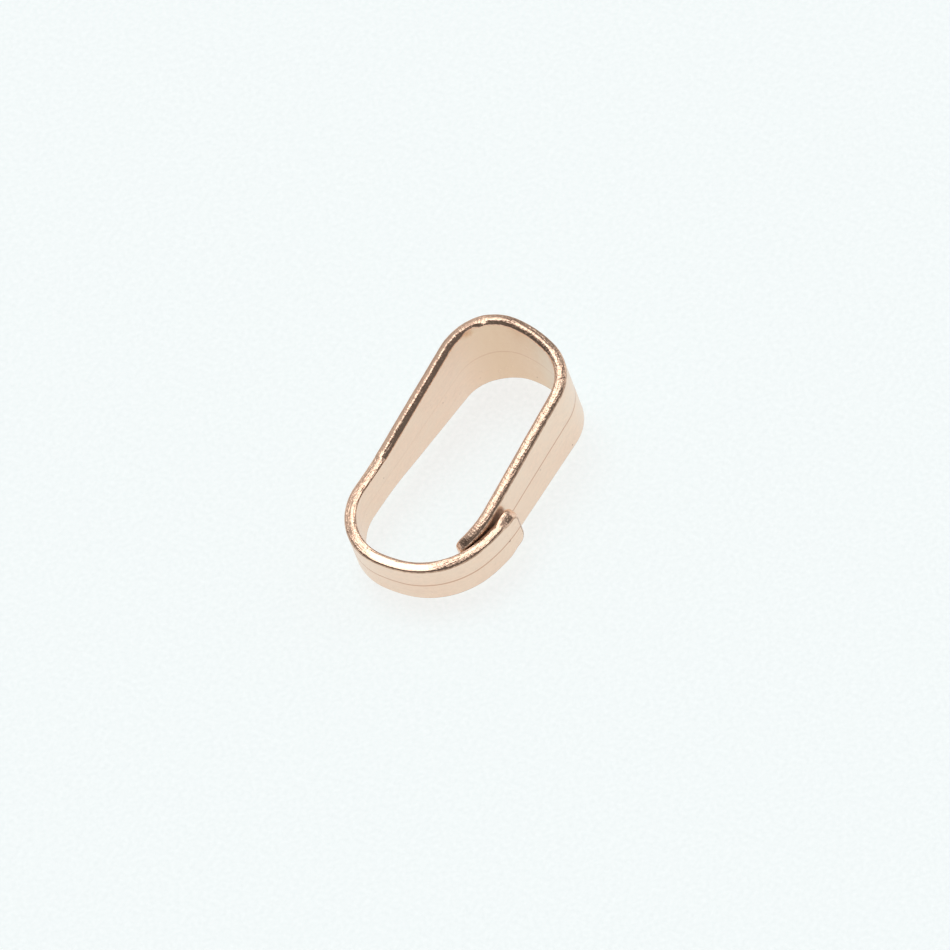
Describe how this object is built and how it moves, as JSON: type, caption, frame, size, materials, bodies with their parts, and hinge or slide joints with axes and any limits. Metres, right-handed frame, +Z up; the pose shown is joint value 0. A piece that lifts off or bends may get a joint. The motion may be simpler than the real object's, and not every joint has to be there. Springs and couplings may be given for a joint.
{
  "type": "bail finding",
  "caption": "Tapered metal strip wrapped into an oval loop: the wide end slides on a chain and the narrow lapped end holds a pendant's ring.",
  "frame": {"origin": "on the surface that the loop lies on, under the middle of its box", "axes": "+Z up from the surface, +Y along the loop towards its wide end, +X towards the side where the outer tongue laps the inner one"},
  "size_m": [0.0046, 0.0082, 0.0031],
  "materials": {
    "rose_gold_plate": "satin rose gold plating, brighter along the cut edges"
  },
  "bodies": {
    "root": {"strip": "rose_gold_plate"}
  },
  "joints": []
}
